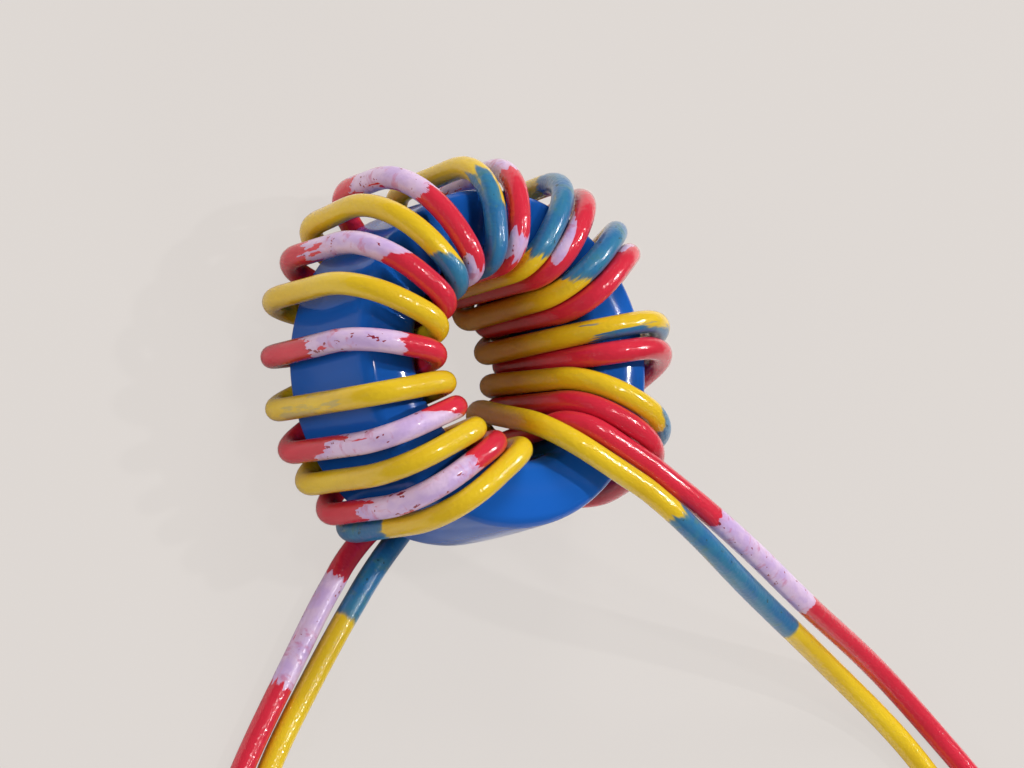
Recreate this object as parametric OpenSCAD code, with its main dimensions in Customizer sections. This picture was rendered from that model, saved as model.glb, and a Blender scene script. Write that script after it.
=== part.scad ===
// Toroidal inductor: a coated ferrite ring wound by hand with two insulated
// solid wires laid side by side. It lies flat with the hole upright, rests on
// the passes under the ring, and its four free leads end in bare copper.

/* [Ring core] */
// Outside diameter of the ring, over its coating
ring_od = 13; // [12.6:0.1:13.6]
// Diameter of the hole through the ring
ring_id = 7.9; // [7.9:0.1:8.5]
// Height of the ring
ring_h = 5.65; // [4.65:0.05:6.65]
// Rounding of the coating at the four rims
rim_r = 0.5; // [0.3:0.05:0.8]

/* [Wire] */
// Diameter of the wire over its insulation
wire_d = 0.88; // [0.7:0.01:0.9]
// Diameter of the copper conductor
conductor_d = 0.5; // [0.4:0.05:0.6]
// Bare copper at the end of each lead
strip_l = 5; // [3:0.5:8]

/* [Winding] */
// Air between the ring and the wire laid on it
lay_gap = 0.02; // [0.01:0.01:0.04]
// Bend radius of the wire's centreline at the hole and under the ring
bend_r = 0.85; // [0.6:0.05:0.95]
// Share of the largest clear bend that the turns take round the ring's rims
roll_share = 0.92; // [0.8:0.02:1]
// Height by which every turn clears the upper rim
rim_lift = 0.2; // [0.1:0.05:0.4]
// Bend radius where the finish leads leave over the upper rim
leave_r = 2.5; // [1.5:0.1:3]
// Largest change of direction between two rings of the wire, in degrees
bend_step = 15; // [15:1:30]
// Sides of the wire's section
wire_sides = 8; // [6:2:10]

/* [Hidden] */

// Share of a pass's tuck under the ring that is left at the hole's upper rim
tuck_left = 0.3;
// Largest share of a straight that its two bends may use together
bend_share = 0.98;

// Levels: the wire lies on z = 0, the ring on the wire, the top pass on the ring
low_z = wire_d / 2;
ring_z = wire_d + lay_gap;
top_z = ring_z + ring_h + lay_gap + wire_d / 2;
// Radii of the wire's centreline against the hole, halfway and round the outside
hole_r = ring_id / 2 - lay_gap - wire_d / 2;
out_r = ring_od / 2 + lay_gap + wire_d / 2;
mid_r = (hole_r + out_r) / 2;

// One row for each turn, as it was laid by hand. Angles are clockwise from +X,
// seen from above, and count on past a full circle:
// [hole below, hole above, rim above, rim below,
//  tuck into the hole, rise over the ring, ease of the bend out of the hole,
//  lift over the rim, slack above, slack below]
yellow_turns = [
    [ 84,  91, 122, 128, 0.0, 0.5, 0.5, 0.3, 0.4, 0.4],
    [118, 128, 143, 147, 0.0, 0.6, 0.0, 0.1, 0.5, 0.3],
    [153, 162, 167, 171, 0.0, 0.7, 0.0, 0.1, 0.3, 0.3],
    [187, 195, 202, 203, 0.0, 0.8, 0.3, 0.2, 0.6, 0.8],
    [217, 226, 230, 229, 0.0, 0.7, 0.0, 0.2, 1.1, 0.7],
    [248, 256, 266, 264, 0.0, 0.6, 0.0, 0.2, 0.6, 0.3],
    [279, 285.5, 297, 299, 0.2, 0.3, 0.6, 0.1, 0.8, 0.9],
    [310, 316, 317, 332, 0.5, 0.8, 1.0, 0.0, 0.6, 0.9],
    [339, 346, 349, 366, 0.7, 0.6, 1.0, 0.0, 0.5, 0.6],
    [363, 376, 382, 389, 0.8, 0.4, 1.0, 0.0, 0.7, 0.8]
];
red_turns = [
    [102, 111, 132, 136, 0.0, 0.5, 0.0, 0.1, 0.6, 0.4],
    [137, 146, 153, 158, 0.0, 0.6, 0.0, 0.1, 0.3, 0.4],
    [170, 179, 185, 187, 0.0, 0.6, 0.3, 0.2, 0.2, 0.3],
    [202, 210, 216, 217, 0.0, 0.7, 0.0, 0.3, 0.6, 0.7],
    [232, 241, 242, 244, 0.0, 0.7, 0.0, 0.3, 1.1, 1.0],
    [263, 271, 276, 282, 0.0, 0.5, 0.5, 0.4, 0.5, 0.5],
    [294, 301, 304, 312, 0.0, 0.6, 1.0, 0.1, 0.8, 0.8],
    [324, 331, 324, 343, 0.0, 0.6, 1.0, 0.0, 0.6, 0.9],
    [351, 362, 357, 374, 0.0, 0.6, 1.0, 0.1, 0.5, 0.5],
    [380, 392, 390, 397, 0.4, 0.3, 1.0, 0.1, 0.6, 1.4]
];

// Free leads, from the winding outwards: [x, y, height above lying flat]
yellow_start_route = [
    [-3.7, -8.0, 0], [-4.9, -9.7, 0], [-6.1, -11.3, 0], [-7.2, -12.9, 0],
    [-8.4, -14.6, 0], [-9.3, -16.5, 0], [-9.8, -18.4, 0], [-9.9, -20.4, 0],
    [-9.6, -22.4, 0], [-8.9, -24.3, 0], [-7.8, -26.0, 0], [-6.5, -27.5, 0],
    [-5.0, -28.8, 0], [-3.3, -29.9, 0], [-1.6, -30.9, 0], [0.2, -31.8, 0]
];
red_start_route = [
    [-4.7, -7.2, 0], [-5.7, -8.9, 0], [-6.8, -10.6, 0], [-8.0, -12.2, 0],
    [-9.1, -13.9, 0], [-10.1, -15.6, 0], [-11.0, -17.4, 0], [-11.6, -19.3, 0],
    [-11.8, -21.3, 0], [-11.7, -23.3, 0], [-11.3, -25.3, 0], [-10.6, -27.2, 0],
    [-9.6, -28.9, 0], [-8.4, -30.5, 0], [-7.0, -31.9, 0], [-5.5, -33.2, 0]
];
yellow_finish_route = [
    [6.8, -6.5, 6.9], [8.4, -7.5, 6.2], [10.3, -8.4, 5.0], [12.1, -9.2, 4.0],
    [13.9, -10.1, 3.0], [15.7, -10.9, 2.1], [17.4, -11.9, 1.2], [19.1, -12.9, 0.6],
    [20.7, -14.1, 0.2], [22.1, -15.5, 0], [23.3, -17.1, 0], [24.2, -18.9, 0],
    [24.8, -20.8, 0], [25.1, -22.8, 0], [25.1, -24.8, 0], [24.9, -26.8, 0]
];
red_finish_route = [
    [7.3, -5.7, 6.8], [9.0, -6.6, 6.3], [10.8, -7.5, 5.5], [12.6, -8.4, 4.6],
    [14.4, -9.3, 3.6], [16.2, -10.1, 2.7], [18.0, -10.9, 1.8], [19.8, -11.9, 1.0],
    [21.5, -13.1, 0.4], [23.0, -14.5, 0.1], [24.4, -15.9, 0], [25.7, -17.4, 0],
    [26.8, -19.1, 0], [27.6, -20.9, 0], [28.2, -22.8, 0], [28.5, -24.8, 0]
];

function unit(v) = v / norm(v);
function reverse(list) = [for (i = [len(list) - 1:-1:0]) list[i]];
function slice(list, first, last) = [for (i = [first:last]) list[i]];

// A corner of the laid wire: [x, y, z, bend radius]
function corner(r, a, z, bend) = [r * cos(a), -r * sin(a), z, bend];

// Bend round a rim of the ring whose corner stands off by slack and lift
function rim_bend(slack, lift) =
    rim_r + wire_d / 2 + lay_gap + roll_share * (slack + lift + sqrt(2 * slack * lift));

// Bend out of the hole, between the tight bend below and the largest clear one
function hole_bend(tuck, rise, ease) =
    bend_r + ease * (rim_bend(tuck, rise) - bend_r);

// The four corners of one turn: up through the hole, out over the ring,
// down round the outside and back in underneath
function turn_corners(t) =
    let (
        tuck = tuck_left * t[4],
        lift = rim_lift + t[7]
    )
    [
        corner(hole_r - t[4], t[0], low_z, bend_r),
        corner(hole_r - tuck, t[1], top_z + t[5], hole_bend(tuck, t[5], t[6])),
        corner(out_r + t[8], t[2], top_z + lift, rim_bend(t[8], lift)),
        corner(out_r + t[9], t[3], low_z, rim_bend(t[9], 0))
    ];

function winding_corners(turns) = [for (t = turns) each turn_corners(t)];
function route_corners(route) = [for (p = route) [p.x, p.y, low_z + p.z, 0]];

// Where each start lead slips in under the first turns
yellow_entry = [
    corner(out_r + 0.4, 111, low_z, 1.5 * bend_r),
    corner(mid_r + 0.4, 103, low_z, 2 * bend_r)
];
red_entry = [
    corner(out_r + 0.2, 120, low_z, 1.5 * bend_r),
    corner(mid_r + 0.1, 112, low_z, 2 * bend_r)
];

// The last pass of each wire. The yellow one swings across the hole in a second
// layer, over the red one, and both leave over the upper rim
yellow_exit = [
    corner(hole_r, 399, low_z, bend_r),
    corner(hole_r - 1.3, 391, low_z + 0.5, 1.4 * bend_r),
    corner(hole_r - 0.5, 430, top_z + 0.4, hole_bend(0.5, 0.4, 0.7)),
    corner(out_r + 0.5, 405.5, top_z + 0.4, leave_r)
];
red_exit = [
    corner(hole_r, 415, low_z, bend_r),
    corner(hole_r - 0.2, 407, top_z + 0.3, hole_bend(0.2, 0.3, 0.7)),
    corner(out_r, 398.5, top_z + 0.3, leave_r)
];

// Corners of a whole wire, from the end of its start lead to the end of its
// finish lead
function wire_corners(start, entry, turns, exit, finish) = concat(
    route_corners(reverse(start)), entry, winding_corners(turns), exit,
    route_corners(finish)
);

// Points round the bend at p, of radius r, between straights towards a and b.
// Each straight is shared with the bend at its other end, of radius ra or rb
function bend_points(p, a, b, r, ra, rb) =
    let (
        ua = unit(a - p),
        ub = unit(b - p),
        half = acos(ua * ub) / 2,
        t = min(r / tan(half),
            bend_share * norm(a - p) * r / (r + ra),
            bend_share * norm(b - p) * r / (r + rb)),
        turn = 180 - 2 * half,
        steps = ceil(turn / bend_step),
        centre = p + unit(ua + ub) * t / cos(half),
        u = p + ua * t - centre,
        v = p + ub * t - centre
    )
    [for (i = [0:steps])
        centre + (sin(turn * (1 - i / steps)) * u + sin(turn * i / steps) * v) / sin(turn)];

function xyz(c) = [c.x, c.y, c.z];

// Centreline of a wire through its corners, each corner rounded
function centreline(c) = [
    for (i = [0:len(c) - 1])
        each (c[i][3] == 0
            ? [xyz(c[i])]
            : bend_points(xyz(c[i]), xyz(c[i - 1]), xyz(c[i + 1]),
                c[i][3], c[i - 1][3], c[i + 1][3]))
];

// Direction of a centreline at each of its points
function directions(p) =
    let (last = len(p) - 1)
    [for (i = [0:last])
        i == 0 ? unit(p[1] - p[0]) :
        i == last ? unit(p[last] - p[last - 1]) :
        unit(unit(p[i + 1] - p[i]) + unit(p[i] - p[i - 1]))];

// What is left of n square to direction d
function squared(n, d) = unit(n - (n * d) * d);

// A side direction carried along the wire without twisting
function side_directions(d) = [
    for (i = 0, n = squared([0, 0, 1], d[0]);
         i < len(d);
         n = squared(n, d[min(i + 1, len(d) - 1)]), i = i + 1)
        n
];

// The wire's outline at each point of its centreline
function wire_rings(p) =
    let (
        d = directions(p),
        n = side_directions(d)
    )
    [for (i = [0:len(p) - 1])
        [for (k = [0:wire_sides - 1])
            let (a = 360 * k / wire_sides)
            p[i] + wire_d / 2 * (cos(a) * n[i] + sin(a) * cross(d[i], n[i]))]];

yellow_line = centreline(wire_corners(
    yellow_start_route, yellow_entry, yellow_turns, yellow_exit, yellow_finish_route));
red_line = centreline(wire_corners(
    red_start_route, red_entry, red_turns, red_exit, red_finish_route));

// Closed solid of the wire between two of its rings
module wire_solid(line, first, last) {
    rings = slice(wire_rings(line), first, last);
    s = wire_sides;
    n = len(rings);
    polyhedron(
        points = [for (ring = rings) each ring],
        faces = concat(
            [[for (k = [0:s - 1]) k]],
            [[for (k = [s - 1:-1:0]) (n - 1) * s + k]],
            [for (i = [0:n - 2], k = [0:s - 1])
                [i * s + k, (i + 1) * s + k, (i + 1) * s + (k + 1) % s]],
            [for (i = [0:n - 2], k = [0:s - 1])
                [i * s + k, (i + 1) * s + (k + 1) % s, i * s + (k + 1) % s]]
        )
    );
}

// Bare copper that carries on from one end of the insulation
module bare_end(end, before) {
    d = unit(end - before);
    translate(end)
        rotate([0, acos(d.z), atan2(d.y, d.x)])
            cylinder(d = conductor_d, h = strip_l, $fn = 48);
}

// Half section of the ring, with a rounded coating
module ring_section() {
    w = (ring_od - ring_id) / 2;
    translate([ring_id / 2, ring_z]) {
        translate([rim_r, 0])
            square([w - 2 * rim_r, ring_h]);
        translate([0, rim_r])
            square([w, ring_h - 2 * rim_r]);
        for (x = [rim_r, w - rim_r], y = [rim_r, ring_h - rim_r])
            translate([x, y])
                circle(r = rim_r, $fn = 32);
    }
}

module ring_core() {
    color([0.1, 0.35, 0.7])
        rotate_extrude($fn = 96)
            ring_section();
}

module yellow_winding() {
    color([0.8, 0.67, 0.2])
        wire_solid(yellow_line, len(yellow_start_route) - 1,
            len(yellow_line) - len(yellow_finish_route));
}

module yellow_start_lead() {
    color([0.8, 0.67, 0.2])
        wire_solid(yellow_line, 0, len(yellow_start_route) - 1);
}

module yellow_finish_lead() {
    color([0.8, 0.67, 0.2])
        wire_solid(yellow_line, len(yellow_line) - len(yellow_finish_route),
            len(yellow_line) - 1);
}

module red_winding() {
    color([0.78, 0.2, 0.26])
        wire_solid(red_line, len(red_start_route) - 1,
            len(red_line) - len(red_finish_route));
}

module red_start_lead() {
    color([0.78, 0.2, 0.26])
        wire_solid(red_line, 0, len(red_start_route) - 1);
}

module red_finish_lead() {
    color([0.78, 0.2, 0.26])
        wire_solid(red_line, len(red_line) - len(red_finish_route),
            len(red_line) - 1);
}

module yellow_start_end() {
    color([0.85, 0.55, 0.4])
        bare_end(yellow_line[0], yellow_line[1]);
}

module yellow_finish_end() {
    last = len(yellow_line) - 1;
    color([0.85, 0.55, 0.4])
        bare_end(yellow_line[last], yellow_line[last - 1]);
}

module red_start_end() {
    color([0.85, 0.55, 0.4])
        bare_end(red_line[0], red_line[1]);
}

module red_finish_end() {
    last = len(red_line) - 1;
    color([0.85, 0.55, 0.4])
        bare_end(red_line[last], red_line[last - 1]);
}

ring_core();
yellow_winding();
yellow_start_lead();
yellow_finish_lead();
red_winding();
red_start_lead();
red_finish_lead();
yellow_start_end();
yellow_finish_end();
red_start_end();
red_finish_end();
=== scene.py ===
"""Toroidal inductor: a blue coated ring wound with a yellow and a red wire.

Lengths that come from the part are written in millimetres, as its source has
them, and become metres where a mesh or a declaration is made.
"""

import math

import bpy
import numpy as np
from mathutils import Matrix, Vector


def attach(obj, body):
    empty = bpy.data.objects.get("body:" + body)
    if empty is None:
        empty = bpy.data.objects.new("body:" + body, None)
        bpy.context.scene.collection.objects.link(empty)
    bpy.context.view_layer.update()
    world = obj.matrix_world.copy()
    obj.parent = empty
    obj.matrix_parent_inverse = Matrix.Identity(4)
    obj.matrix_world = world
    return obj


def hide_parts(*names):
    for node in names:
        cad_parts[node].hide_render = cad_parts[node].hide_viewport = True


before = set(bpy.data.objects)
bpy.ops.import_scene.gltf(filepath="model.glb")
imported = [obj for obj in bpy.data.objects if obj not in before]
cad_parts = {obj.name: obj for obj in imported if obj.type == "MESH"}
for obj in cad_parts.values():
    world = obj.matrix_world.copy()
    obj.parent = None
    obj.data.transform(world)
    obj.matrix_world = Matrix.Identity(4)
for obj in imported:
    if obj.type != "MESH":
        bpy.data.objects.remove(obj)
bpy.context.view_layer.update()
bpy.ops.object.select_all(action="DESELECT")

MM = 0.001

# ---------------------------------------------------------------- sizes, mm

ring_od = 13.0
ring_id = 7.9
ring_h = 5.65
rim_r = 0.5
wire_d = 0.88
lay_gap = 0.02
bend_r = 0.85
roll_share = 0.92
rim_lift = 0.2
leave_r = 2.5
tuck_left = 0.3
bend_share = 0.98

# How far the bends run into each other, in the winding and in the free leads.
# The second takes over so far before the winding's end, over so long a stretch
winding_ease = 0.4
lead_ease = 2.4
ease_start = 2.5
ease_change = 3.0
line_step = 0.08

# Distance from the axis past which a wire counts as a free lead
free_r = 8.0

# Bulge of the coating on the ring's faces and walls
face_crown = 0.17
wall_crown = 0.06

low_z = wire_d / 2
ring_z = wire_d + lay_gap
top_z = ring_z + ring_h + lay_gap + wire_d / 2
hole_r = ring_id / 2 - lay_gap - wire_d / 2
out_r = ring_od / 2 + lay_gap + wire_d / 2
mid_r = (hole_r + out_r) / 2
ring_middle = Vector((0, 0, ring_z + ring_h / 2)) * MM

# ---------------------------------------------------------------- camera

right = Vector((0.83383, -0.09131, 0.54442))
up = Vector((0.0, 0.98623, 0.16541))
back = Vector((-0.55202, -0.13792, 0.82234))
camera_distance = 239.557

camera = bpy.data.objects.new("camera", bpy.data.cameras.new("camera"))
bpy.context.scene.collection.objects.link(camera)
turned = Matrix((right, up, back)).transposed().to_4x4()
camera.matrix_world = Matrix.Translation(ring_middle + back * (camera_distance * MM)) @ turned
camera.data.lens = 222.5
camera.data.sensor_width = 36.0
camera.data.shift_x = 0.0426
camera.data.shift_y = -0.0154
camera.data.clip_start = 0.01
camera.data.clip_end = 20.0
bpy.context.scene.camera = camera
bpy.context.scene.view_settings.view_transform = "Standard"

# ---------------------------------------------------------------- the wires' way

# One row for each turn, angles clockwise from +X: hole below, hole above, rim
# above, rim below, tuck into the hole, rise over the ring, ease of the bend out
# of the hole, lift over the rim, slack above, slack below
yellow_turns = [
    (84,  91, 122, 128, 0.0, 0.5, 0.5, 0.3, 0.4, 0.4),
    (118, 128, 143, 147, 0.0, 0.6, 0.0, 0.1, 0.5, 0.3),
    (153, 162, 167, 171, 0.0, 0.7, 0.0, 0.1, 0.3, 0.3),
    (187, 195, 202, 203, 0.0, 0.8, 0.3, 0.2, 0.6, 0.8),
    (217, 226, 230, 229, 0.0, 0.7, 0.0, 0.2, 1.1, 0.7),
    (248, 256, 266, 264, 0.0, 0.6, 0.0, 0.2, 0.6, 0.3),
    (279, 285.5, 297, 299, 0.2, 0.3, 0.6, 0.1, 0.8, 0.9),
    (310, 316, 317, 332, 0.5, 0.8, 1.0, 0.0, 0.6, 0.9),
    (339, 346, 349, 366, 0.7, 0.6, 1.0, 0.0, 0.5, 0.6),
    (363, 376, 382, 389, 0.8, 0.4, 1.0, 0.0, 0.7, 0.8),
]
red_turns = [
    (102, 111, 132, 136, 0.0, 0.5, 0.0, 0.1, 0.6, 0.4),
    (137, 146, 153, 158, 0.0, 0.6, 0.0, 0.1, 0.3, 0.4),
    (170, 179, 185, 187, 0.0, 0.6, 0.3, 0.2, 0.2, 0.3),
    (202, 210, 216, 217, 0.0, 0.7, 0.0, 0.3, 0.6, 0.7),
    (232, 241, 242, 244, 0.0, 0.7, 0.0, 0.3, 1.1, 1.0),
    (263, 271, 276, 282, 0.0, 0.5, 0.5, 0.4, 0.5, 0.5),
    (294, 301, 304, 312, 0.0, 0.6, 1.0, 0.1, 0.8, 0.8),
    (324, 331, 324, 343, 0.0, 0.6, 1.0, 0.0, 0.6, 0.9),
    (351, 362, 357, 374, 0.0, 0.6, 1.0, 0.1, 0.5, 0.5),
    (380, 392, 390, 397, 0.4, 0.3, 1.0, 0.1, 0.6, 1.4),
]

# Free leads from the winding outwards: x, y, height above lying flat
yellow_start_route = [
    (-3.7, -8.0, 0), (-4.9, -9.7, 0), (-6.1, -11.3, 0), (-7.2, -12.9, 0),
    (-8.4, -14.6, 0), (-9.3, -16.5, 0), (-9.8, -18.4, 0), (-9.9, -20.4, 0),
    (-9.6, -22.4, 0), (-8.9, -24.3, 0), (-7.8, -26.0, 0), (-6.5, -27.5, 0),
    (-5.0, -28.8, 0), (-3.3, -29.9, 0), (-1.6, -30.9, 0), (0.2, -31.8, 0),
]
red_start_route = [
    (-4.7, -7.2, 0), (-5.7, -8.9, 0), (-6.8, -10.6, 0), (-8.0, -12.2, 0),
    (-9.1, -13.9, 0), (-10.1, -15.6, 0), (-11.0, -17.4, 0), (-11.6, -19.3, 0),
    (-11.8, -21.3, 0), (-11.7, -23.3, 0), (-11.3, -25.3, 0), (-10.6, -27.2, 0),
    (-9.6, -28.9, 0), (-8.4, -30.5, 0), (-7.0, -31.9, 0), (-5.5, -33.2, 0),
]
yellow_finish_route = [
    (6.8, -6.5, 6.9), (8.4, -7.5, 6.2), (10.3, -8.4, 5.0), (12.1, -9.2, 4.0),
    (13.9, -10.1, 3.0), (15.7, -10.9, 2.1), (17.4, -11.9, 1.2), (19.1, -12.9, 0.6),
    (20.7, -14.1, 0.2), (22.1, -15.5, 0), (23.3, -17.1, 0), (24.2, -18.9, 0),
    (24.8, -20.8, 0), (25.1, -22.8, 0), (25.1, -24.8, 0), (24.9, -26.8, 0),
]
red_finish_route = [
    (7.3, -5.7, 6.8), (9.0, -6.6, 6.3), (10.8, -7.5, 5.5), (12.6, -8.4, 4.6),
    (14.4, -9.3, 3.6), (16.2, -10.1, 2.7), (18.0, -10.9, 1.8), (19.8, -11.9, 1.0),
    (21.5, -13.1, 0.4), (23.0, -14.5, 0.1), (24.4, -15.9, 0), (25.7, -17.4, 0),
    (26.8, -19.1, 0), (27.6, -20.9, 0), (28.2, -22.8, 0), (28.5, -24.8, 0),
]


def corner(r, angle, z, bend):
    """A corner of a wire's way, from its distance and angle round the axis."""
    a = math.radians(angle)
    return (r * math.cos(a), -r * math.sin(a), z, bend)


def rim_bend(slack, lift):
    """Bend round a rim of the ring whose corner stands off by slack and lift."""
    return (rim_r + wire_d / 2 + lay_gap
            + roll_share * (slack + lift + math.sqrt(2 * slack * lift)))


def hole_bend(tuck, rise, ease):
    """Bend out of the hole, between the tight one below and the widest clear one."""
    return bend_r + ease * (rim_bend(tuck, rise) - bend_r)


def turn_corners(row):
    """The four corners of one turn, up through the hole and down outside."""
    (hole_below, hole_above, rim_above, rim_below,
     tuck, rise, ease, lift, slack_above, slack_below) = row
    tuck_above = tuck_left * tuck
    lift = rim_lift + lift
    return [
        corner(hole_r - tuck, hole_below, low_z, bend_r),
        corner(hole_r - tuck_above, hole_above, top_z + rise, hole_bend(tuck_above, rise, ease)),
        corner(out_r + slack_above, rim_above, top_z + lift, rim_bend(slack_above, lift)),
        corner(out_r + slack_below, rim_below, low_z, rim_bend(slack_below, 0)),
    ]


yellow_entry = [
    corner(out_r + 0.4, 111, low_z, 1.5 * bend_r),
    corner(mid_r + 0.4, 103, low_z, 2 * bend_r),
]
red_entry = [
    corner(out_r + 0.2, 120, low_z, 1.5 * bend_r),
    corner(mid_r + 0.1, 112, low_z, 2 * bend_r),
]
yellow_exit = [
    corner(hole_r, 399, low_z, bend_r),
    corner(hole_r - 1.3, 391, low_z + 0.5, 1.4 * bend_r),
    corner(hole_r - 0.5, 430, top_z + 0.4, hole_bend(0.5, 0.4, 0.7)),
    corner(out_r + 0.5, 405.5, top_z + 0.4, leave_r),
]
red_exit = [
    corner(hole_r, 415, low_z, bend_r),
    corner(hole_r - 0.2, 407, top_z + 0.3, hole_bend(0.2, 0.3, 0.7)),
    corner(out_r, 398.5, top_z + 0.3, leave_r),
]


def bend_points(p, a, b, r, ra, rb, step=6.0):
    """Points round the bend at p, between straights towards a and b, each of
    which is shared with the bend at its other end."""
    va, vb = a - p, b - p
    la, lb = np.linalg.norm(va), np.linalg.norm(vb)
    ua, ub = va / la, vb / lb
    half = math.acos(float(np.clip(ua @ ub, -1, 1))) / 2
    t = min(r / math.tan(half), bend_share * la * r / (r + ra),
            bend_share * lb * r / (r + rb))
    sweep = math.pi - 2 * half
    steps = max(2, math.ceil(math.degrees(sweep) / step))
    middle = (ua + ub) / np.linalg.norm(ua + ub)
    centre = p + middle * t / math.cos(half)
    u, v = p + ua * t - centre, p + ub * t - centre
    return [
        centre + (math.sin(sweep * (1 - i / steps)) * u + math.sin(sweep * i / steps) * v)
        / math.sin(sweep)
        for i in range(steps + 1)
    ]


def smooth_route(points, steps=8):
    """A soft curve through every point of a lead."""
    p = [2 * points[0] - points[1]] + list(points) + [2 * points[-1] - points[-2]]
    out = []
    for a, b, c, d in zip(p, p[1:], p[2:], p[3:]):
        for t in (i / steps for i in range(steps)):
            out.append(0.5 * (2 * b + (c - a) * t + (2 * a - 5 * b + 4 * c - d) * t * t
                              + (3 * b - a - 3 * c + d) * t ** 3))
    out.append(points[-1])
    return out


def along(line):
    """Length along a line at each of its points."""
    return np.concatenate([[0], np.cumsum(np.linalg.norm(np.diff(line, axis=0), axis=1))])


def evened(line, reach):
    """The line with its bends run into each other over a reach in mm, as a stiff
    wire does, without drawing it in round the wide ones."""
    n = int(3 * reach / line_step)
    weight = np.exp(-0.5 * (np.arange(-n, n + 1) * line_step / reach) ** 2)
    weight /= weight.sum()

    def soft(p):
        head = 2 * p[0] - p[n:0:-1]
        tail = 2 * p[-1] - p[-2:-n - 2:-1]
        long = np.vstack([head, p, tail])
        return np.stack([np.convolve(long[:, k], weight, "valid") for k in range(3)], 1)

    once = soft(line)
    return 2 * once - soft(once)


class Wire:
    """One insulated wire from end to end, with the places that its ink refers to."""

    def __init__(self, start, entry, turns, leave, finish):
        first = smooth_route([np.array((x, y, low_z + h)) for x, y, h in start])[::-1]
        last = smooth_route([np.array((x, y, low_z + h)) for x, y, h in finish])
        corners = list(entry)
        for row in turns:
            corners += turn_corners(row)
        corners += leave
        xyz = [first[-1]] + [np.array(c[:3]) for c in corners] + [last[0]]
        bend = [0.0] + [c[3] for c in corners] + [0.0]
        points = list(first)
        marks = []
        for i in range(len(corners)):
            arc = bend_points(xyz[i + 1], xyz[i], xyz[i + 2],
                              bend[i + 1], bend[i], bend[i + 2])
            marks.append(len(points) + len(arc) // 2)
            points += arc
        end_of_winding = len(points)
        points += last
        line = np.array(points)
        s = along(line)
        self.marks = s[marks]
        self.n_entry = len(entry)
        self.cuts = (s[0], s[len(first) - 1], s[end_of_winding], s[-1])
        # Ease the bends of the winding a little and those of the free leads more
        even = np.linspace(0, s[-1], round(s[-1] / line_step))
        line = np.stack([np.interp(even, s, line[:, k]) for k in range(3)], 1)
        from_winding = np.maximum(self.cuts[1] - even, even - self.cuts[2])
        free = np.clip((from_winding + ease_start) / ease_change, 0, 1)[:, None]
        line = evened(line, winding_ease) * (1 - free) + evened(line, lead_ease) * free
        line[:, 2] = np.maximum(line[:, 2], low_z)
        self.line, self.s = line, even

    def place(self, turn, t):
        """Length along the wire at a turn, counted from 1, with t from 0 at the
        hole's lower bend through 1, 2 and 3 at the next bends to 4."""
        i = self.n_entry + 4 * (turn - 1) + int(math.floor(t))
        f = t - math.floor(t)
        return self.marks[i] * (1 - f) + self.marks[i + 1] * f

    def piece(self, part, step):
        """Lengths and points along the start lead, winding or finish lead: 0, 1 or 2."""
        a, b = self.cuts[part], self.cuts[part + 1]
        at = np.linspace(a, b, max(2, math.ceil((b - a) / step) + 1))
        return at, np.stack([np.interp(at, self.s, self.line[:, k]) for k in range(3)], 1)


yellow = Wire(yellow_start_route, yellow_entry, yellow_turns, yellow_exit,
              yellow_finish_route)
red = Wire(red_start_route, red_entry, red_turns, red_exit, red_finish_route)

# ---------------------------------------------------------------- wire meshes


def directions(line):
    """Unit direction of a line at each of its points."""
    d = np.diff(line, axis=0)
    d /= np.linalg.norm(d, axis=1)[:, None]
    t = np.vstack([d[:1], d[:-1] + d[1:], d[-1:]])
    return t / np.linalg.norm(t, axis=1)[:, None]


def away_from_ring(line):
    """Outward direction at each point of a winding; up, where a lead runs free."""
    r = np.hypot(line[:, 0], line[:, 1])[:, None]
    middle = np.hstack([line[:, :2] / r * (ring_od + ring_id) / 4,
                        np.full(r.shape, ring_z + ring_h / 2)])
    free = np.clip(r - free_r, 0, 1)
    away = line - middle
    away = away / np.linalg.norm(away, axis=1)[:, None] * (1 - free)
    return away + free * np.array((0.0, 0.0, 1.0))


class Ink:
    """One inked band between two lengths along the wire. Its ends lean by so
    many mm from the middle of the wire to its side; ragged says how torn each end
    is, sides how far round the ink goes, from -1 to 1 across the wire, and cover
    how much of the plain colour it hides."""

    def __init__(self, start, end, lean=(0, 0), ragged=(0.3, 0.6),
                 sides=(-1.6, 1.6), cover=1.0):
        self.start, self.end, self.lean = start, end, lean
        self.ragged, self.sides, self.cover = ragged, sides, cover


def ink_on(bands, s, across, deepest=2.0):
    """Depth inside the nearest band in mm, raggedness there, and its cover."""
    depth = np.full(s.shape, -deepest)
    ragged = np.zeros(s.shape)
    cover = np.ones(s.shape)
    for band in bands:
        first = s - band.start - band.lean[0] * across
        last = band.end + band.lean[1] * across - s
        side = wire_d / 2 * np.minimum(across - band.sides[0], band.sides[1] - across)
        inside = np.minimum(np.minimum(first, last), side)
        near = inside > depth
        depth[near] = inside[near]
        torn = np.where(first < last, band.ragged[0], band.ragged[1])
        ragged[near] = torn[near]
        cover[near] = band.cover
    return np.stack([np.clip(depth, -deepest, deepest), ragged, cover], -1)


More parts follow.
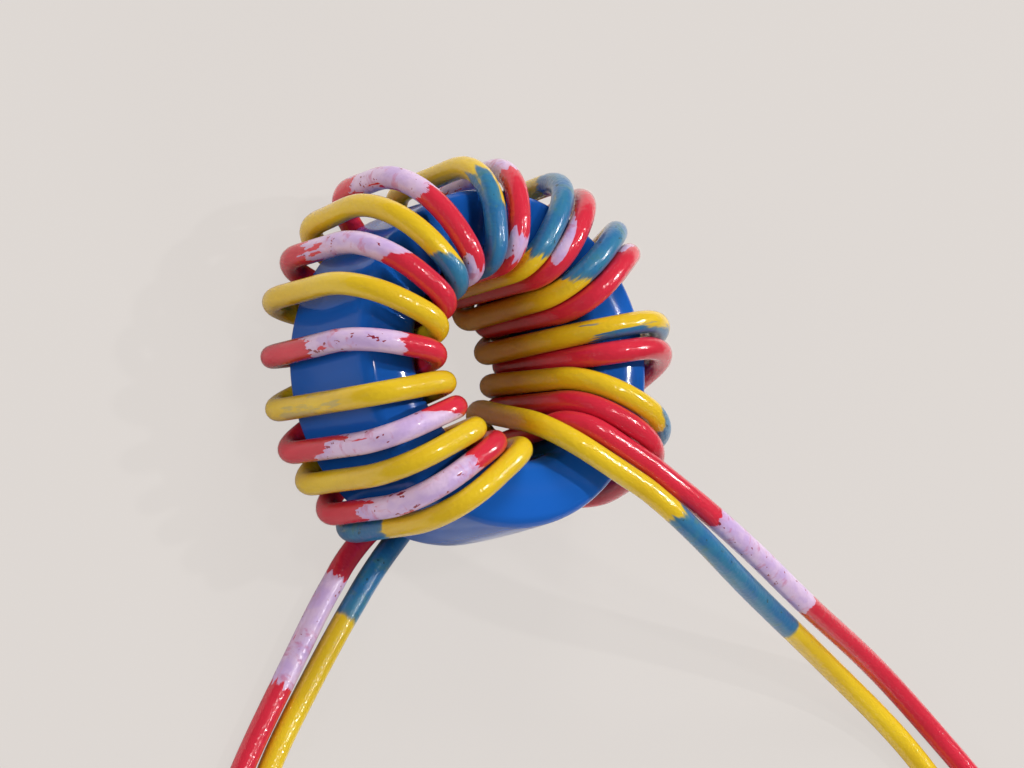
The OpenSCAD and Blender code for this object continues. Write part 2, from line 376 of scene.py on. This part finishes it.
def wire_pieces(wire, names, bands, sides=20, step=0.16):
    """Three tubes that meet face to face: start lead, winding, finish lead."""
    runs = [wire.piece(k, step) for k in range(3)]
    whole = np.vstack([runs[0][1], runs[1][1][1:], runs[2][1][1:]])
    d = directions(whole)
    normal = [np.array((0.0, 0.0, 1.0))]
    for t in d:
        n = normal[-1] - (normal[-1] @ t) * t
        normal.append(n / np.linalg.norm(n))
    normal = np.array(normal[1:])
    other = np.cross(d, normal)
    sideways = np.cross(d, away_from_ring(whole))
    sideways /= np.linalg.norm(sideways, axis=1)[:, None]
    phi = np.arange(sides) * 2 * math.pi / sides
    made = []
    first = 0
    for name, (s, line) in zip(names, runs):
        keep = slice(first, first + len(s))
        round_wire = (np.cos(phi)[None, :, None] * normal[keep][:, None]
                      + np.sin(phi)[None, :, None] * other[keep][:, None])
        rings = line[:, None] + wire_d / 2 * round_wire
        across = (round_wire * sideways[keep][:, None]).sum(2)
        count = len(s)
        faces = [
            (i * sides + k, i * sides + (k + 1) % sides,
             (i + 1) * sides + (k + 1) % sides, (i + 1) * sides + k)
            for i in range(count - 1) for k in range(sides)
        ]
        # The cut ends have their own corners, so that they stay sharp
        points = np.vstack([rings.reshape(-1, 3), rings[0], rings[-1]])
        n = count * sides
        faces.append(tuple(range(n, n + sides))[::-1])
        faces.append(tuple(range(n + sides, n + 2 * sides)))
        mesh = bpy.data.meshes.new(name)
        mesh.from_pydata((points * MM).tolist(), [], faces)
        mesh.polygons.foreach_set("use_smooth", [True] * (len(faces) - 2) + [False] * 2)
        # Place on the wire as if it were pulled straight, and place in the ink
        s = np.repeat(s[:, None], sides, 1)
        straight = np.stack([s, np.tile(wire_d / 2 * np.cos(phi), (count, 1)),
                             np.tile(wire_d / 2 * np.sin(phi), (count, 1))], 2)
        ink = ink_on(bands, s, across)
        for layer_name, values in (("on_wire", straight), ("ink", ink)):
            values = np.vstack([values.reshape(-1, 3), values[0], values[-1]])
            layer = mesh.attributes.new(layer_name, "FLOAT_VECTOR", "POINT")
            layer.data.foreach_set("vector", values.astype(np.float32).ravel())
        mesh.update()
        tube = bpy.data.objects.new(name, mesh)
        bpy.context.scene.collection.objects.link(tube)
        made.append((tube, line))
        first += count - 1
    return made


# ---------------------------------------------------------------- ink bands


def on_turn(wire, turn, start, end, **looks):
    """A band between two places on a turn, as Wire.place counts them."""
    return Ink(wire.place(turn, start), wire.place(turn, end), **looks)


yellow_ink = [
    Ink(yellow.cuts[1] - 1.3, yellow.cuts[1] + 3.6, ragged=(0.12, 0.3)),
    on_turn(yellow, 1, 2.50, 3.30, ragged=(0.3, 0.5)),
    on_turn(yellow, 3, 2.20, 2.75, ragged=(0.9, 0.7), sides=(-1.1, -0.35), cover=0.28),
    on_turn(yellow, 5, 0.40, 1.28, lean=(0, -0.5), ragged=(0.5, 0.35)),
    on_turn(yellow, 6, 0.20, 1.62, lean=(0, -0.5), ragged=(0.5, 0.4)),
    on_turn(yellow, 6, 1.00, 1.95, lean=(0, -0.4), ragged=(0.5, 0.4), sides=(-1.6, 0.2)),
    on_turn(yellow, 7, 1.10, 2.30, lean=(0.2, 0), ragged=(0.8, 0.5)),
    on_turn(yellow, 8, 1.06, 2.15, lean=(0.5, 0), ragged=(0.5, 0.5)),
    on_turn(yellow, 9, 1.00, 2.40, ragged=(0.8, 0.5), sides=(0.4, 1.6)),
    on_turn(yellow, 10, 1.76, 3.30, lean=(0.3, 0), ragged=(0.6, 0.4)),
    Ink(yellow.cuts[2] - 0.6, yellow.cuts[2] + 9.1, ragged=(0.35, 0.08)),
]
red_ink = [
    Ink(red.cuts[1] - 5.2, red.cuts[1] - 0.3, ragged=(0.5, 0.4)),
    on_turn(red, 1, 1.40, 2.46, ragged=(0.3, 1.0)),
    on_turn(red, 2, 1.28, 2.50, lean=(0.8, -1.0), ragged=(0.15, 1.0)),
    on_turn(red, 3, 1.52, 2.45, lean=(0.1, 0), ragged=(0.3, 1.3)),
    on_turn(red, 4, 1.73, 2.62, lean=(-0.5, 0), ragged=(0.15, 0.9)),
    on_turn(red, 5, 1.83, 2.62, lean=(-0.2, 0), ragged=(0.5, 0.9)),
    on_turn(red, 5, 0.80, 1.02, lean=(0, -0.3), sides=(-1.6, 0.3)),
    on_turn(red, 6, 2.06, 3.00, ragged=(0.3, 0.8)),
    on_turn(red, 6, 0.98, 1.20, ragged=(0.5, 0.5), sides=(-0.9, 0.4)),
    on_turn(red, 7, 1.04, 0.98, lean=(0, -2.5), ragged=(0.2, 0.3)),
    on_turn(red, 8, 1.70, 1.95, ragged=(0.3, 0.3), sides=(-1.6, -0.5)),
    Ink(red.cuts[2] + 1.3, red.cuts[2] + 8.7, ragged=(0.12, 0.25)),
]

# ---------------------------------------------------------------- finishes


class Reading:
    """A socket of a finish. Sums and products of readings add Math nodes."""

    def __init__(self, finish, socket):
        self.finish, self.socket = finish, socket

    def _math(self, operation, a, b):
        return self.finish.node("ShaderNodeMath", {"operation": operation}, {0: a, 1: b})

    def __add__(self, other):
        return self._math("ADD", self, other)

    def __radd__(self, other):
        return self._math("ADD", other, self)

    def __sub__(self, other):
        return self._math("SUBTRACT", self, other)

    def __rsub__(self, other):
        return self._math("SUBTRACT", other, self)

    def __mul__(self, other):
        return self._math("MULTIPLY", self, other)

    def __rmul__(self, other):
        return self._math("MULTIPLY", other, self)

    def step(self, low, high):
        """0 below low, 1 above high, soft between."""
        return self.finish.node(
            "ShaderNodeMapRange", {"interpolation_type": "SMOOTHSTEP"},
            {"Value": self, "From Min": low, "From Max": high})


class Finish:
    """One material, built from nodes. What is the same all over it is fixed by the
    name of its socket, in small letters."""

    def __init__(self, name, **fixed):
        self.material = bpy.data.materials.new(name)
        self.material.use_nodes = True
        self.tree = self.material.node_tree
        self.tree.nodes.clear()
        self.shader = self.tree.nodes.new("ShaderNodeBsdfPrincipled")
        out = self.tree.nodes.new("ShaderNodeOutputMaterial")
        self.tree.links.new(self.shader.outputs[0], out.inputs["Surface"])
        for socket, value in fixed.items():
            self.set(socket.replace("_", " ").title().replace("Ior", "IOR"), value)

    def set(self, socket, value):
        self._give(self.shader.inputs[socket], value)

    def _give(self, socket, value):
        if isinstance(value, Reading):
            self.tree.links.new(value.socket, socket)
        elif isinstance(value, (tuple, list)) and socket.type == "RGBA" and len(value) == 3:
            socket.default_value = (*value, 1.0)
        else:
            socket.default_value = value

    def node(self, kind, settings=None, inputs=None, output=0):
        """Adds a node, sets it up, then gives its sockets their values or links."""
        made = self.tree.nodes.new(kind)
        for name, value in (settings or {}).items():
            setattr(made, name, value)
        for key, value in (inputs or {}).items():
            self._give(made.inputs[key], value)
        return Reading(self, made.outputs[output])

    def noise(self, place, scale, detail=2.0, roughness=0.5):
        return self.node("ShaderNodeTexNoise", None,
                         {"Vector": place, "Scale": scale, "Detail": detail,
                          "Roughness": roughness})

    def mix(self, factor, a, b):
        return self.node("ShaderNodeMix", {"data_type": "RGBA"},
                         {0: factor, 6: a, 7: b}, output=2)

    def stretch(self, place, x, y, z):
        return self.node("ShaderNodeVectorMath", {"operation": "MULTIPLY"},
                         {0: place, 1: (x, y, z)})

    def bump(self, height, strength, distance):
        self.set("Normal", self.node(
            "ShaderNodeBump", None,
            {"Height": height, "Strength": strength, "Distance": distance}))


def insulation(name, plain, plain_dark, inks, worn_to, scratch, soft_edge, streak, wear):
    """Glossy extruded insulation with inked bands that have rubbed and torn. The
    inks are their main colour, their other tone and their stains."""
    tear_reach = 3.4
    wave_reach = 0.30
    grain_height = 0.000032
    f = Finish(name, coat_weight=0.4, coat_roughness=0.07)
    place = f.node("ShaderNodeAttribute", {"attribute_name": "on_wire"}, None, 1)
    band = f.node("ShaderNodeAttribute", {"attribute_name": "ink"}, None, 1)
    depth, ragged, cover = (
        f.node("ShaderNodeSeparateXYZ", None, {0: band}, k) for k in range(3))
    tears = f.noise(f.stretch(place, streak, 2.3, 2.3), 1.5, 3.0, 0.5)
    waves = f.noise(place, 2.2, 1.0, 0.4)
    edge = depth + ragged * (tears - 0.5) * tear_reach + (waves - 0.5) * wave_reach
    inked = edge.step(-soft_edge, soft_edge)
    specks = f.noise(f.stretch(place, 1.1, 1.5, 1.5), 2.6, 2.0, 0.6)
    near_edge = 1 - edge.step(0.0, 1.2)
    lost = (specks + near_edge * ragged * 0.07 - wear).step(0.0, 0.02)
    mask = inked * cover
    cloud = f.noise(f.stretch(place, 0.7, 1.0, 1.0), 1.3, 3.0, 0.55)
    stain = f.noise(f.stretch(place, 1.2, 0.7, 0.7), 1.9, 3.0, 0.6)
    shade = f.noise(f.stretch(place, 0.3, 1.0, 1.0), 0.9, 2.0)
    under = f.mix(shade.step(0.35, 0.65), plain, plain_dark)
    over = f.mix(cloud.step(0.40, 0.62), inks[0], inks[1])
    over = f.mix(stain.step(0.56, 0.70) * 0.8, over, inks[2])
    thin = 1 - edge.step(0.02, 0.35)
    over = f.mix(thin * 0.35, over, worn_to)
    over = f.mix(lost, over, scratch)
    f.set("Base Color", f.mix(mask, under, over))
    f.set("Roughness", 0.22 + mask * 0.08)
    grain = f.noise(f.stretch(place, 1.15, 1.0, 1.0), 5.5, 1.5, 0.45)
    f.bump(grain, 0.8, grain_height)
    return f.material


yellow_plastic = insulation(
    "yellow_insulation_blue_ink",
    plain=(0.74, 0.50, 0.014), plain_dark=(0.67, 0.43, 0.012),
    inks=((0.018, 0.134, 0.310), (0.027, 0.168, 0.300), (0.056, 0.175, 0.185)),
    worn_to=(0.13, 0.19, 0.08), scratch=(0.02, 0.08, 0.12),
    soft_edge=0.12, streak=0.32, wear=0.70)
red_plastic = insulation(
    "red_insulation_white_ink",
    plain=(0.62, 0.020, 0.046), plain_dark=(0.55, 0.016, 0.038),
    inks=((0.55, 0.38, 0.66), (0.66, 0.48, 0.69), (0.54, 0.19, 0.35)),
    worn_to=(0.60, 0.24, 0.36), scratch=(0.25, 0.012, 0.035),
    soft_edge=0.04, streak=0.45, wear=0.69)

coat = Finish("blue_epoxy_coat", base_color=(0.009, 0.100, 0.44), roughness=0.07,
              specular_ior_level=0.18)
ripples = coat.noise(coat.node("ShaderNodeTexCoord", output="Object"), 1400.0)
coat.bump(ripples, 0.15, 0.00001)

copper = Finish("drawn_copper", base_color=(0.80, 0.42, 0.27), metallic=1.0)
grooves = copper.noise(copper.node("ShaderNodeTexCoord", output="Object"), 4000.0, 3.0)
copper.set("Roughness", 0.22 + grooves * 0.2)

# ---------------------------------------------------------------- pieces

names = {
    "yellow": ("yellow_start_lead_wire", "yellow_winding_wire", "yellow_finish_lead_wire"),
    "red": ("red_start_lead_wire", "red_winding_wire", "red_finish_lead_wire"),
}
for hue, wire, bands, plastic in (("yellow", yellow, yellow_ink, yellow_plastic),
                                  ("red", red, red_ink, red_plastic)):
    made = wire_pieces(wire, names[hue], bands)
    for (tube, line), end in zip(made, ("start", None, "finish")):
        tube.data.materials.append(plastic)
        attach(tube, "root")
        hue + "_insulation"
        if end is None:
            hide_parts(hue + "_winding")
            continue
        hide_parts(f"{hue}_{end}_lead")
        # A start lead's line is turned round to run from where it leaves the object
        if end == "start":
            line = line[::-1]
        tuple(line[0] * MM)
        (line * MM).tolist()

# Ring: its section is drawn beside the axis, its corners rounded and its sides
# pushed out to a slight crown, then it is spun
ring_w = (ring_od - ring_id) / 2
section_middle = ((ring_id + ring_w) / 2, 0, ring_z + ring_h / 2)
close_to = 0.01
bpy.ops.mesh.primitive_plane_add(
    size=1, location=[v * MM for v in section_middle], rotation=(math.pi / 2, 0, 0))
ring = bpy.context.object
ring.name = ring.data.name = "coated_ring"
ring.scale = ((ring_w - 2 * wall_crown) * MM, (ring_h - 2 * face_crown) * MM, 1)
bpy.ops.object.transform_apply(location=True, rotation=True, scale=True)
bpy.ops.object.mode_set(mode="EDIT")
bpy.ops.mesh.select_all(action="SELECT")
bpy.ops.mesh.bevel(offset=rim_r * 0.8 * MM, segments=8, affect="VERTICES")
bpy.ops.mesh.delete(type="ONLY_FACE")


def pick(test):
    """Selects the ring's vertices that pass a test on their place in mm."""
    bpy.ops.object.mode_set(mode="OBJECT")
    for v in ring.data.vertices:
        v.select = bool(test(*(v.co / MM)))
    for e in ring.data.edges:
        e.select = all(ring.data.vertices[i].select for i in e.vertices)
    bpy.ops.object.mode_set(mode="EDIT")


def crown(axis, across, depth, width, height):
    """Bows out the two sides of the section that face along an axis. Its depth
    is measured along that axis and its width across it."""
    for way in (-1, 1):
        side = section_middle[axis] + way * (depth / 2 - height)
        pick(lambda *p: abs(p[axis] - side) < close_to)
        bpy.ops.mesh.subdivide(number_cuts=9)
        pick(lambda *p: abs(p[axis] - side) < close_to
             and abs(p[across] - section_middle[across]) < close_to)
        push = [0, 0, 0]
        push[axis] = way * height * MM
        bpy.ops.transform.translate(
            value=push, use_proportional_edit=True, proportional_edit_falloff="INVERSE_SQUARE",
            proportional_size=width / 2 * MM, use_proportional_connected=True)


crown(axis=0, across=2, depth=ring_w, width=ring_h, height=wall_crown)
crown(axis=2, across=0, depth=ring_h, width=ring_w, height=face_crown)
bpy.ops.mesh.select_all(action="SELECT")
bpy.ops.mesh.spin(steps=240, angle=2 * math.pi, center=(0, 0, 0), axis=(0, 0, 1))
bpy.ops.mesh.select_all(action="SELECT")
bpy.ops.mesh.remove_doubles(threshold=1e-6)
bpy.ops.mesh.normals_make_consistent(inside=False)
bpy.ops.object.mode_set(mode="OBJECT")
bpy.ops.object.shade_smooth()
ring.data.materials.append(coat.material)
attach(ring, "root")
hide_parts("ring_core")

for name in ("yellow_start_end", "yellow_finish_end", "red_start_end", "red_finish_end"):
    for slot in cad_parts[name].material_slots:
        slot.material = copper.material

# ---------------------------------------------------------------- studio

bpy.ops.mesh.primitive_plane_add(size=4, location=(0, 0, 0))
floor = bpy.context.object
floor.name = "floor"

# The paper glows in its own colour where the camera sees it, and a little in
# what the object mirrors. The rest of it is lit, and keeps the shadow.
pale = (0.715, 0.672, 0.640)
glow_seen = 0.9
glow_mirrored = 0.1
paper = Finish("pale_paper", base_color=pale, roughness=0.9)
seen = paper.node("ShaderNodeLightPath", output="Is Camera Ray")
mirrored = paper.node("ShaderNodeLightPath", output="Is Glossy Ray")
lit = Reading(paper, paper.shader.outputs["BSDF"])
glow = paper.node("ShaderNodeEmission", None, {"Color": pale, "Strength": 1.0})
sheet = paper.node("ShaderNodeMixShader", None,
                   {0: seen * glow_seen + mirrored * glow_mirrored, 1: lit, 2: glow})
paper.tree.links.new(sheet.socket, paper.tree.nodes["Material Output"].inputs["Surface"])
floor.data.materials.append(paper.material)

world = bpy.data.worlds.new("studio")
bpy.context.scene.world = world
world.use_nodes = True
background = world.node_tree.nodes["Background"]
background.inputs["Color"].default_value = (1.0, 0.985, 0.96, 1)
background.inputs["Strength"].default_value = 0.14


def lamp(name, towards, distance, size, watts, mirrored=True):
    """A square soft box at so many mm from the ring's middle, facing it. A fill
    that isn't mirrored leaves no highlight."""
    light = bpy.data.lights.new(name, "AREA")
    light.shape = "SQUARE"
    light.size = size * MM
    light.energy = watts
    box = bpy.data.objects.new(name, light)
    bpy.context.scene.collection.objects.link(box)
    box.location = ring_middle + Vector(towards).normalized() * distance * MM
    box.rotation_euler = (ring_middle - box.location).to_track_quat("-Z", "Y").to_euler()
    box.visible_glossy = mirrored


lamp("key", (0.65, 0.14, 0.75), distance=300, size=9, watts=0.42)
lamp("overhead", (0.13, 0.14, 0.98), distance=420, size=28, watts=0.34)
lamp("behind", (0.20, 0.80, 0.60), distance=420, size=160, watts=1.00, mirrored=False)
lamp("side", (-0.85, 0.00, 0.40), distance=420, size=160, watts=0.65, mirrored=False)
lamp("front", (0.40, -0.80, 0.45), distance=420, size=160, watts=0.52, mirrored=False)
